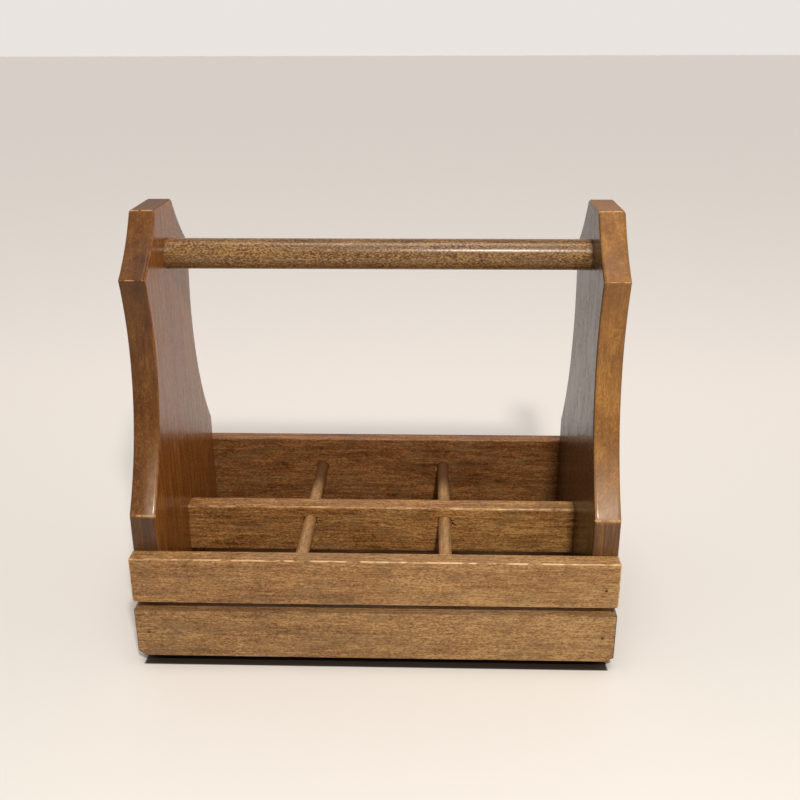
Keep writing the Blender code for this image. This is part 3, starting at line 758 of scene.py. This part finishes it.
def makePanels():
    look = panelShape
    handleMiddle, handleSize = boxMiddle("handle_dowel")
    dividerMiddle, dividerSize = boxMiddle("centre_divider")
    for side, sign in sides.items():
        node = "end_panel_" + side
        low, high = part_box(node)
        thickness, halfDepth, bottom = high.x - low.x, (high.y - low.y) / 2, low.z
        top = look["height"]
        shoulderHeight = top - look["shoulderBelowTop"]
        rightFoot, rightCrease = flat(halfDepth, 0), flat(halfDepth, look["creaseAboveBottom"])
        rightShoulder = flat(look["shoulderHalfWidth"], shoulderHeight)
        rightTop = flat(look["topHalfWidth"], top)
        leftTop, leftShoulder, leftCrease, leftFoot = (
            flat(-place.x, place.y) for place in (rightTop, rightShoulder, rightCrease, rightFoot))
        stretches = [
            straight(rightFoot, rightCrease),
            hollowArc(rightCrease, rightShoulder, look["waistHollow"]),
            hollowArc(rightShoulder, rightTop, look["shoulderHollow"]),
            straight(rightTop, leftTop),
            hollowArc(leftTop, leftShoulder, look["shoulderHollow"]),
            hollowArc(leftShoulder, leftCrease, look["waistHollow"]),
            straight(leftCrease, leftFoot),
            straight(leftFoot, rightFoot),
        ]
        radii = [look["footRadius"], look["creaseRadius"], look["shoulderRadius"], look["topRadius"],
                 look["topRadius"], look["shoulderRadius"], look["creaseRadius"], look["footRadius"]]
        points = roundedOutline(stretches, radii)
        middle = ((low.x + high.x) / 2, 0.0, bottom)
        mesh = boardMesh(node + "_mesh", points, thickness, look["arris"], ((0, 1, 0), (0, 0, 1)),
                         middle, sign * 7, look["arrisWear"])
        outerFace = sign * max(abs(low.x), abs(high.x))
        innerFace = sign * min(abs(low.x), abs(high.x))
        outward = Vector((sign, 0, 0))
        holes = nailHoles(lambda name: abs(nails[name][0].x - outerFace) < 1e-4)
        screwMiddle, screwSize = boxMiddle("handle_screw_" + side)
        screwPlace = Vector((outerFace, screwMiddle.y, screwMiddle.z))
        holes.append(cylinderMesh("screwHole", screwSize.z / 2 + holeShape["screwClear"],
                                  2 * look["screwHoleDepth"], screwPlace, outward))
        socket = Vector((innerFace, handleMiddle.y, handleMiddle.z))
        holes.append(cylinderMesh("socket", handleSize.z / 2 + holeShape["dowelClear"],
                                  2 * look["socketDepth"], socket, outward, 72))
        gap = holeShape["housingClear"]
        housing = (2 * look["housingDepth"], dividerSize.y + 2 * gap, dividerSize.z + 2 * gap)
        holes.append(boxMesh("housing", housing, (innerFace, dividerMiddle.y, dividerMiddle.z)))
        corner = dividerMiddle + dividerSize / 2
        holes.append(chipMesh("torn", look["torn"], Vector((innerFace, corner.y, corner.z)), 60 + sign))
        holes += dentsOn(points, panelDents[side], innerFace, sign, thickness, bottom)
        name = "endPanel" + side.capitalize()
        addPiece(name, mesh, side + "PanelWood", [node], holes)


def rectangle(halfLength, low, high):
    corners = [flat(-halfLength, low), flat(halfLength, low), flat(halfLength, high), flat(-halfLength, high)]
    return [straight(corners[k], corners[(k + 1) % 4]) for k in range(4)]


def plainOutline(halfLength, low, high):
    return roundedOutline(rectangle(halfLength, low, high), [boardLook["slatCorner"]] * 4)


facingFront = ((1, 0, 0), (0, 0, 1))
facingUp = ((1, 0, 0), (0, 1, 0))
boardLook = {
    "slatArris": 1.25 * mm, "slatCorner": 1.3 * mm, "backArris": 1.3 * mm, "dividerArris": 1.9 * mm,
    "floorArris": 0.8 * mm, "dowelHoleFront": 4 * mm, "dowelHoleBack": 6 * mm, "dividerOverrun": 2 * mm,
}
lowerSlatEnds = {
    "leftClip": 5.2 * mm, "leftRise": 4.6 * mm, "rightRise": 3.2 * mm, "rightStep": 4.2 * mm,
    "stepRise": 1.3 * mm, "rightFoot": 4.7 * mm,
}


def lowerSlatOutline(halfLength, low, high):
    # the bottom left corner is rounded over, and a chip is missing from the bottom right one
    look = lowerSlatEnds
    corners = [
        flat(-halfLength + look["leftClip"], low), flat(halfLength - look["rightFoot"], low),
        flat(halfLength - look["rightStep"], low + look["stepRise"]),
        flat(halfLength, low + look["rightRise"]),
        flat(halfLength, high), flat(-halfLength, high), flat(-halfLength, low + look["leftRise"]),
    ]
    stretches = [straight(corners[k], corners[(k + 1) % len(corners)]) for k in range(len(corners))]
    return roundedOutline(stretches, [3.2 * mm, 0.3 * mm, 0.0, 0.4 * mm, 1.3 * mm, 1.3 * mm, 3.2 * mm])


arrisDents = {
    "frontSlatUpper": {"count": 16, "seed": 5, "long": (1.6, 5.5), "deep": (0.25, 0.55), "lean": -0.35},
    "frontSlatLower": {"count": 9, "seed": 9, "long": (1.5, 4.0), "deep": (0.2, 0.4), "lean": 0.0},
    "centreDivider": {"count": 8, "seed": 14, "long": (1.5, 4.5), "deep": (0.2, 0.4), "lean": 0.0},
    "backBoard": {"count": 7, "seed": 21, "long": (1.5, 4.5), "deep": (0.2, 0.4), "lean": 0.0},
}


def dentsAlong(name, low, high, arris):
    # long shallow dents on the top front arris; lean below 0 puts more of them towards the left end
    look = arrisDents[name]
    chance = np.random.default_rng(look["seed"])
    dents = []
    for index in range(look["count"]):
        share = float(chance.uniform(0.02, 0.98))
        share = min(0.98, max(0.02, share + look["lean"] * share * (1 - share)))
        long, deep = chance.uniform(*look["long"]) * mm, chance.uniform(*look["deep"]) * mm
        rise = chance.uniform(-0.1, 0.9) * arris
        where = (low.x + share * (high.x - low.x), low.y + rise * 0.45, high.z - (arris - rise) * 0.45)
        dents.append(chipMesh("dent", (long, deep, deep), where, index * 1.7))
    return dents


def uprightBoard(name, low, high, arris, seed, outline=plainOutline):
    # a board that stands on its long edge and faces the front
    points = outline((high.x - low.x) / 2, low.z, high.z)
    middle = ((low.x + high.x) / 2, (low.y + high.y) / 2, 0.0)
    return boardMesh(name, points, high.y - low.y, arris, facingFront, middle, seed)


def makeSlats():
    arris = boardLook["slatArris"]
    for which, seed, outline in (("upper", 3, plainOutline), ("lower", 11, lowerSlatOutline)):
        name, node = "frontSlat" + which.capitalize(), "front_slat_" + which
        low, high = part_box(node)
        mesh = uprightBoard(name, low, high, arris, seed, outline)
        holes = nailHoles(lambda nail: nail.startswith(which + "_slat_nail"))
        holes += dentsAlong(name, low, high, arris)
        addPiece(name, mesh, which + "SlatWood", [node], holes)


def dowelHoles(clear, reachLow, reachHigh):
    holes = []
    for side in sides:
        middle, size = boxMiddle("cross_dowel_" + side)
        place = Vector((middle.x, (reachLow + reachHigh) / 2, middle.z))
        reach = reachHigh - reachLow
        holes.append(cylinderMesh("dowelHole", size.x / 2 + clear, reach, place, (0, 1, 0), 48))
    return holes


def makeBackBoard():
    low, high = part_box("back_board")
    mesh = uprightBoard("backBoard", low, high, boardLook["backArris"], 23)
    holes = nailHoles(lambda nail: nail.startswith("back_nail"))
    holes += dowelHoles(holeShape["dowelClear"], low.y - boardLook["dowelHoleFront"],
                        low.y + boardLook["dowelHoleBack"])
    holes += dentsAlong("backBoard", low, high, boardLook["backArris"])
    addPiece("backBoard", mesh, "backBoardWood", ["back_board"], holes)


chips = {
    # across and above each dowel's middle, then half width and half height of the torn spot
    "left": [(5.6 * mm, 2.6 * mm, 1.9 * mm, 0.6 * mm), (7.4 * mm, -0.6 * mm, 1.5 * mm, 0.7 * mm),
             (-5.4 * mm, 3.0 * mm, 1.5 * mm, 0.5 * mm), (5.2 * mm, -2.2 * mm, 0.9 * mm, 0.6 * mm)],
    "right": [(5.8 * mm, 1.2 * mm, 1.6 * mm, 0.6 * mm), (8.0 * mm, -2.8 * mm, 1.7 * mm, 0.6 * mm),
              (-5.3 * mm, 3.4 * mm, 1.6 * mm, 0.5 * mm), (6.6 * mm, -1.2 * mm, 0.8 * mm, 0.9 * mm)],
}


def makeDivider():
    low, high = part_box("centre_divider")
    mesh = uprightBoard("centreDivider", low, high, boardLook["dividerArris"], 31)
    overrun = boardLook["dividerOverrun"]
    holes = dowelHoles(holeShape["dividerClear"], low.y - overrun, high.y + overrun)
    for side in sides:
        place = boxMiddle("cross_dowel_" + side)[0]
        for index, (across, rise, wide, tall) in enumerate(chips[side]):
            where = (place.x + across, low.y, place.z + rise)
            size = (wide * 1.3, 5 * mm, tall * 1.5)
            holes.append(chipMesh("chip", size, where, index + sides[side] * 5))
    corner = (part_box("end_panel_left")[1].x + 0.4 * mm, high.y - 0.3 * mm, high.z)
    holes.append(chipMesh("tornCorner", (2.3 * mm, 3.2 * mm, 2.6 * mm), corner, 77))
    holes += dentsAlong("centreDivider", low, high, boardLook["dividerArris"])
    addPiece("centreDivider", mesh, "dividerWood", ["centre_divider"], holes)


def makeFloorBoard():
    low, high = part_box("floor_board")
    middle = ((low.x + high.x) / 2, 0.0, (low.z + high.z) / 2)
    points = plainOutline((high.x - low.x) / 2, low.y, high.y)
    mesh = boardMesh("floorBoard", points, high.z - low.z, boardLook["floorArris"], facingUp, middle, 43)
    addPiece("floorBoard", mesh, "floorWood", ["floor_board"])


makePanels()
print("end panels made")
makeSlats()
makeBackBoard()
makeDivider()
makeFloorBoard()
print("slats and boards made")


# ---- what repeats: dowels, nails, screws and feet, from geometry nodes

def newTree(name, inputs):
    # inputs: name -> (socket type, default)
    tree = bpy.data.node_groups.new(name, "GeometryNodeTree")
    tree.interface.new_socket(name="Sites", in_out="INPUT", socket_type="NodeSocketGeometry")
    for key, (kind, default) in inputs.items():
        socket = tree.interface.new_socket(name=key, in_out="INPUT", socket_type="NodeSocket" + kind)
        if default is not None:
            socket.default_value = default
    tree.interface.new_socket(name="Piece", in_out="OUTPUT", socket_type="NodeSocketGeometry")
    group = tree.nodes.new("NodeGroupInput")
    return tree, {socket.name: Wire(tree, socket) for socket in group.outputs if socket.name}


def closeTree(tree, sites, shape, material):
    # one turned copy of shape at every site, made real, in one material
    outward = addNode(tree, "GeometryNodeInputNamedAttribute", {"data_type": "FLOAT_VECTOR"},
                      {"Name": "outward"})
    turn = addNode(tree, "FunctionNodeAlignRotationToVector", {"axis": "Z"}, {"Vector": outward})
    copies = addNode(tree, "GeometryNodeInstanceOnPoints", None,
                     {"Points": sites, "Instance": shape, "Rotation": turn})
    real = addNode(tree, "GeometryNodeRealizeInstances", None, {0: copies})
    painted = addNode(tree, "GeometryNodeSetMaterial", None, {"Geometry": real, "Material": material})
    end = tree.nodes.new("NodeGroupOutput")
    tree.links.new(painted.socket, end.inputs[0])


def placed(tree, shape, lift):
    return addNode(tree, "GeometryNodeTransform", None,
                   {"Geometry": shape, "Translation": combined(tree, z=lift)})


def dowelTree():
    # a round rod with softened ends, centred on its site
    tree, given = newTree("roundRod", {
        "Radius": ("Float", 5 * mm), "Length": ("Float", 0.2), "Soft End": ("Float", 0.8 * mm),
        "Sides": ("Int", 48), "Uneven": ("Float", 0.05 * mm), "Material": ("Material", None)})
    half = given["Length"] * 0.5
    line = addNode(tree, "GeometryNodeCurvePrimitiveLine", None,
                   {"Start": combined(tree, z=half * -1.0), "End": combined(tree, z=half)})
    fine = addNode(tree, "GeometryNodeResampleCurve", None, {"Curve": line, "Count": rodLook["rings"]})
    share = addNode(tree, "GeometryNodeSplineParameter", output="Factor")
    fromEnd = (0.5 - (share - 0.5).size()) * given["Length"]
    depth = (1 - fromEnd / given["Soft End"]).larger(0.0)
    fall = (1 - (1 - depth * depth).root()) * given["Soft End"]
    ripple = addNode(tree, "ShaderNodeTexNoise", {"noise_dimensions": "1D"},
                     {"W": share * rodLook["ripples"], "Detail": 2.0})
    radius = given["Radius"] - fall + (ripple - 0.5) * given["Uneven"]
    ring = addNode(tree, "GeometryNodeCurvePrimitiveCircle", None,
                   {"Resolution": given["Sides"], "Radius": 1.0})
    rod = addNode(tree, "GeometryNodeCurveToMesh", None,
                  {"Curve": fine, "Profile Curve": ring, "Scale": radius, "Fill Caps": True})
    closeTree(tree, given["Sites"], rod, given["Material"])
    return tree


def setValues(modifier, tree, values):
    for item in tree.interface.items_tree:
        if item.item_type == "SOCKET" and item.in_out == "INPUT" and item.name in values:
            modifier[item.identifier] = values[item.name]


def fromSites(name, tree, sites, values, nodes):
    # sites: (place, outward) pairs; the tree's result becomes a plain mesh
    mesh = bpy.data.meshes.new(name + "Sites")
    mesh.from_pydata([tuple(place) for place, _ in sites], [], [])
    outward = mesh.attributes.new("outward", "FLOAT_VECTOR", "POINT")
    for index, (_, direction) in enumerate(sites):
        outward.data[index].vector = direction
    piece = addObject(name, mesh)
    modifier = piece.modifiers.new("build", "NODES")
    modifier.node_group = tree
    setValues(modifier, tree, values)
    bakeModifiers(piece)
    finishPiece(piece, nodes)


rodLook = {
    "rings": 361, "ripples": 37.0, "softEnd": 0.8 * mm, "handleUneven": 0.10 * mm, "handleShort": 3 * mm,
    "crossUneven": 0.08 * mm, "crossShort": 1 * mm,
}
rodTree = dowelTree()


def makeDowels():
    middle, size = boxMiddle("handle_dowel")
    values = {"Radius": size.z / 2, "Length": size.x - rodLook["handleShort"], "Sides": 72,
              "Soft End": rodLook["softEnd"], "Uneven": rodLook["handleUneven"],
              "Material": materials["handleWood"]}
    fromSites("handleDowel", rodTree, [(middle, (1, 0, 0))], values, ["handle_dowel"])
    for side in sides:
        node = "cross_dowel_" + side
        middle, size = boxMiddle(node)
        values = {"Radius": size.x / 2, "Length": size.y - rodLook["crossShort"], "Sides": 48,
                  "Soft End": rodLook["softEnd"], "Uneven": rodLook["crossUneven"],
                  "Material": materials["crossDowelWood"]}
        name = "crossDowel" + side.capitalize()
        fromSites(name, rodTree, [(middle, (0, 1, 0))], values, [node])


def nailTree():
    # a shallow domed disc, sunk below the surface of the wood
    tree, given = newTree("setNail", {
        "Radius": ("Float", 1.4 * mm), "Dome": ("Float", 0.3 * mm), "Sink": ("Float", 0.35 * mm),
        "Shank Radius": ("Float", 0.9 * mm), "Length": ("Float", 30 * mm), "Material": ("Material", None)})
    ball = addNode(tree, "GeometryNodeMeshUVSphere", None,
                   {"Segments": 24, "Rings": 12, "Radius": given["Radius"]})
    squashed = combined(tree, 1.0, 1.0, given["Dome"] / given["Radius"])
    disc = addNode(tree, "GeometryNodeTransform", None, {"Geometry": ball, "Scale": squashed})
    shank = addNode(tree, "GeometryNodeMeshCylinder", {"fill_type": "NGON"}, {
        "Vertices": 16, "Radius": given["Shank Radius"], "Depth": given["Length"]})
    shank = placed(tree, shank, given["Length"] * -0.5)
    nail = addNode(tree, "GeometryNodeMeshBoolean", {"operation": "UNION"})
    for part in (disc, shank):
        tree.links.new(part.socket, nail.socket.node.inputs[1])
    lowered = placed(tree, nail, (given["Sink"] + given["Dome"]) * -1.0)
    closeTree(tree, given["Sites"], lowered, given["Material"])
    return tree


nailLook = {"radius": 1.08 * mm, "dome": 0.3 * mm, "fillerSink": 0.12 * mm, "headSink": 0.22 * mm}
bareNails = ["upper_slat_nail_left", "back_nail_high_right"]


def makeNails():
    tree = nailTree()
    for name, material, sink, nodes in (
        ("bareNailHeads", "nailSteel", "headSink", [n for n in sorted(nails) if n in bareNails]),
        ("filledNails", "nailFiller", "fillerSink", [n for n in sorted(nails) if n not in bareNails]),
    ):
        values = {"Radius": nailLook["radius"], "Dome": nailLook["dome"], "Sink": nailLook[sink],
                  "Material": materials[material]}
        fromSites(name, tree, [nails[n] for n in nodes], values, nodes)


def screwTree():
    # a domed or sunk head with a cross recess, and its plain shank
    tree, given = newTree("crossScrew", {
        "Head Radius": ("Float", 3 * mm), "Head Height": ("Float", 2 * mm), "Crown": ("Float", 0.4 * mm),
        "Cone": ("Float", 0.5), "Shank Radius": ("Float", 1.5 * mm), "Length": ("Float", 12 * mm),
        "Recess Width": ("Float", 1.0 * mm), "Recess Depth": ("Float", 1.1 * mm),
        "Material": ("Material", None)})
    cone = addNode(tree, "GeometryNodeMeshCone", {"fill_type": "NGON"}, {
        "Vertices": 40, "Side Segments": 4, "Radius Top": given["Head Radius"],
        "Radius Bottom": given["Head Radius"] * given["Cone"], "Depth": given["Head Height"]})
    lowered = placed(tree, cone, given["Head Height"] * -1.0)
    crown = addNode(tree, "GeometryNodeMeshUVSphere", None,
                    {"Segments": 40, "Rings": 20, "Radius": given["Head Radius"]})
    flatter = combined(tree, 0.985, 0.985, given["Crown"] / given["Head Radius"])
    crown = addNode(tree, "GeometryNodeTransform", None, {"Geometry": crown, "Scale": flatter})
    shank = addNode(tree, "GeometryNodeMeshCylinder", {"fill_type": "NGON"}, {
        "Vertices": 24, "Radius": given["Shank Radius"], "Depth": given["Length"]})
    shank = placed(tree, shank, given["Length"] * -0.5 - given["Head Height"] * 0.5)
    solid = addNode(tree, "GeometryNodeMeshBoolean", {"operation": "UNION"})
    for part in (lowered, crown, shank):
        tree.links.new(part.socket, solid.socket.node.inputs[1])
    cross = addNode(tree, "GeometryNodeJoinGeometry")
    reach = given["Head Radius"] * 1.15
    for x, y in ((reach, given["Recess Width"]), (given["Recess Width"], reach)):
        bar = addNode(tree, "GeometryNodeMeshCube", None,
                      {"Size": combined(tree, x, y, given["Recess Depth"] * 2.0)})
        tree.links.new(bar.socket, cross.socket.node.inputs[0])
    cut = addNode(tree, "GeometryNodeMeshBoolean", {"operation": "DIFFERENCE"}, {0: solid})
    tree.links.new(cross.socket, cut.socket.node.inputs[1])
    closeTree(tree, given["Sites"], cut, given["Material"])
    return tree


screwLook = {
    "handle": {"Crown": 0.15 * mm, "Cone": 0.45, "Head Height": 2.4 * mm, "Shank Radius": 1.75 * mm,
               "Recess Width": 1.1 * mm, "Recess Depth": 1.6 * mm},
    "foot": {"Crown": 1.5 * mm, "Cone": 0.99, "Head Height": 0.35 * mm, "Shank Radius": 1.5 * mm,
             "Recess Width": 0.9 * mm, "Recess Depth": 1.0 * mm},
}


def nodesNamed(start):
    return [node for node in sorted(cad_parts) if node.startswith(start)]


def makeScrews():
    tree = screwTree()
    sites, nodes = [], []
    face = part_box("end_panel_right")[1].x
    for side, sign in sides.items():
        node = "handle_screw_" + side
        middle, size = boxMiddle(node)
        sites.append((Vector((sign * face - sign * 0.1 * mm, middle.y, middle.z)), (sign, 0, 0)))
        nodes.append(node)
    values = {**screwLook["handle"], "Head Radius": size.z / 2, "Length": 30 * mm,
              "Material": materials["zincSteel"]}
    fromSites("handleScrews", tree, sites, values, nodes)
    sites, nodes = [], nodesNamed("foot_screw")
    for node in nodes:
        low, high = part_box(node)
        middle, size = (low + high) / 2, high - low
        sites.append((Vector((middle.x, middle.y, low.z + screwLook["foot"]["Crown"])), (0, 0, -1)))
    values = {**screwLook["foot"], "Head Radius": size.x / 2, "Length": size.z - 2 * mm,
              "Material": materials["zincSteel"]}
    fromSites("footScrews", tree, sites, values, nodes)


def ringSection(tree, outer, inner, height, softEdge, sides):
    # a closed cross-section with rounded corners, carried round a circle and resting on its site
    path = addNode(tree, "GeometryNodeCurvePrimitiveCircle", None,
                   {"Resolution": sides, "Radius": (outer + inner) * 0.5})
    section = addNode(tree, "GeometryNodeCurvePrimitiveQuadrilateral", None,
                      {"Width": outer - inner, "Height": height})
    softened = addNode(tree, "GeometryNodeFilletCurve", {"mode": "POLY"},
                       {"Curve": section, "Count": 5, "Radius": softEdge})
    ring = addNode(tree, "GeometryNodeCurveToMesh", None, {"Curve": path, "Profile Curve": softened})
    return placed(tree, ring, height * 0.5)


def footTree():
    # a moulded foot seen from below: a rounded wall round a recess, closed by a web at the top
    tree, given = newTree("mouldedFoot", {
        "Outer": ("Float", 9.5 * mm), "Recess": ("Float", 5.25 * mm), "Height": ("Float", 5.7 * mm),
        "Web": ("Float", 1.7 * mm), "Bore": ("Float", 1.7 * mm), "Rim": ("Float", 0.9 * mm),
        "Sides": ("Int", 72), "Material": ("Material", None)})
    wall = ringSection(tree, given["Outer"], given["Recess"], given["Height"], given["Rim"], given["Sides"])
    web = ringSection(tree, given["Recess"] + 0.5 * mm, given["Bore"], given["Web"] - 0.1 * mm,
                      0.1 * mm, given["Sides"])
    both = addNode(tree, "GeometryNodeJoinGeometry")
    for part in (wall, placed(tree, web, 0.05 * mm)):
        tree.links.new(part.socket, both.socket.node.inputs[0])
    closeTree(tree, given["Sites"], both, given["Material"])
    return tree


def washerTree():
    tree, given = newTree("flatWasher", {
        "Outer": ("Float", 4.75 * mm), "Bore": ("Float", 1.7 * mm), "Height": ("Float", 0.8 * mm),
        "Soft Edge": ("Float", 0.15 * mm), "Sides": ("Int", 64), "Material": ("Material", None)})
    ring = ringSection(tree, given["Outer"], given["Bore"], given["Height"], given["Soft Edge"],
                       given["Sides"])
    closeTree(tree, given["Sites"], ring, given["Material"])
    return tree


def addUnder(name, tree, material, nodes):
    # pieces that hang from the panels and face down
    sites = [(Vector((*boxMiddle(node)[0].xy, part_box(node)[1].z)), (0, 0, -1)) for node in nodes]
    size = boxMiddle(nodes[0])[1]
    values = {"Outer": size.x / 2, "Height": size.z, "Material": materials[material]}
    fromSites(name, tree, sites, values, nodes)


def makeFeet():
    feet = nodesNamed("foot_back") + nodesNamed("foot_front")
    addUnder("feet", footTree(), "footRubber", feet)
    addUnder("footWashers", washerTree(), "zincSteel", nodesNamed("foot_washer"))


makeDowels()
makeNails()
makeScrews()
makeFeet()
print("dowels, nails, screws and feet made")
